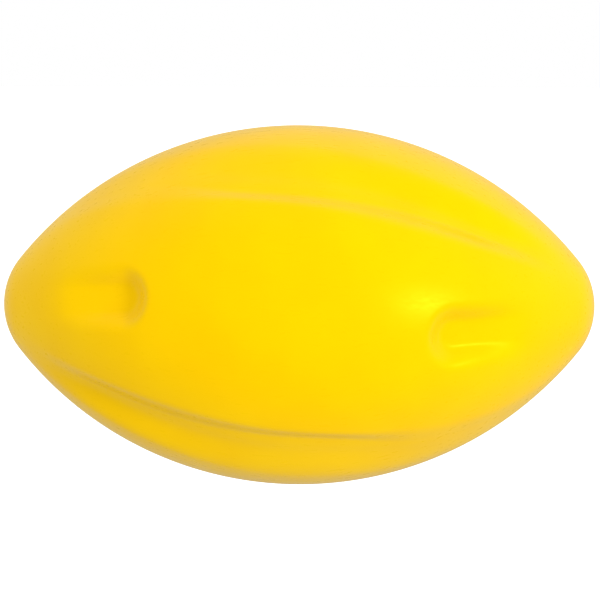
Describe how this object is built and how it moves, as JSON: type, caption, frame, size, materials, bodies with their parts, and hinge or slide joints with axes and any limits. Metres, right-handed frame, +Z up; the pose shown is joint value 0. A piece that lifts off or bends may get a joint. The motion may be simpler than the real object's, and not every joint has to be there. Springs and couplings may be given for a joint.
{
  "type": "throwable life ring capsule",
  "caption": "Football-shaped throwing capsule with twisted flutes and finger scoops; two half shells hold a folded, water-activated inflatable life ring.",
  "frame": {"origin": "middle of the capsule, on its long axis, in the joint plane of the two shells", "axes": "+X along the long axis, -Y towards the front lobe with its two finger scoops, +Z up"},
  "size_m": [0.201, 0.122, 0.122],
  "materials": {
    "shell": "gloss moulded",
    "cap_yellow": "gloss moulded",
    "nylon": "satin moulded",
    "cradle_grey": "fine spark texture",
    "black_plastic": "satin moulded",
    "cylinder_steel": "zinc plated, drawn",
    "bright_steel": "bright",
    "rubber": "matt",
    "ring_fabric": "coated plain weave",
    "webbing": "elastic webbing",
    "cellulose": "pressed cellulose",
    "indicator_green": "gloss moulded"
  },
  "bodies": {
    "capsule": {"rear_shell": "shell", "shear_pin_1": "nylon", "shear_pin_2": "nylon", "shear_pin_3": "nylon", "shear_pin_4": "nylon", "oral_mouthpiece": "nylon", "inflator_cradle": "cradle_grey", "inflator_body": "black_plastic", "manifold_flange": "black_plastic", "oral_tube": "black_plastic", "cradle_screw_1": "bright_steel", "cradle_screw_2": "bright_steel", "striker_spring": "bright_steel", "oral_valve_spring": "bright_steel", "manifold_nut": "bright_steel", "cylinder_seal": "rubber", "manifold_gasket": "rubber", "folded_ring": "ring_fabric", "pack_band_1": "webbing", "pack_band_2": "webbing", "water_bobbin": "cellulose"},
    "front_shell": {"front_shell": "shell"},
    "gas_cylinder": {"co2_cylinder": "cylinder_steel"},
    "striker": {"firing_pin": "bright_steel", "striker_plunger": "indicator_green"},
    "sensor_cap": {"sensor_cap": "cap_yellow"},
    "oral_valve": {"oral_valve_poppet": "indicator_green"},
    "dust_cap": {"dust_cap": "rubber"}
  },
  "joints": [
    {"name": "front_shell_release", "type": "slide", "parent": "capsule", "child": "front_shell", "axis": [0, -1, 0], "range_m": [0, 0.12]},
    {"name": "cylinder_turn", "type": "hinge", "parent": "capsule", "child": "gas_cylinder", "pos_m": [0, 0.006, 0], "axis": [1, 0, 0], "range_deg": [0, 60]},
    {"name": "striker_stroke", "type": "slide", "parent": "capsule", "child": "striker", "axis": [-1, 0, 0], "range_m": [0, 0.005], "deforming": ["striker_spring", "water_bobbin"]},
    {"name": "sensor_cap_turn", "type": "hinge", "parent": "capsule", "child": "sensor_cap", "pos_m": [0.06, 0.006, 0], "axis": [1, 0, 0], "range_deg": [0, 90]},
    {"name": "oral_valve_press", "type": "slide", "parent": "capsule", "child": "oral_valve", "axis": [1, 0, 0], "range_m": [0, 0.003], "stiffness_N_per_m": 200, "deforming": ["oral_valve_spring"]},
    {"name": "dust_cap_pull", "type": "slide", "parent": "capsule", "child": "dust_cap", "axis": [-1, 0, 0], "range_m": [0, 0.014]}
  ]
}
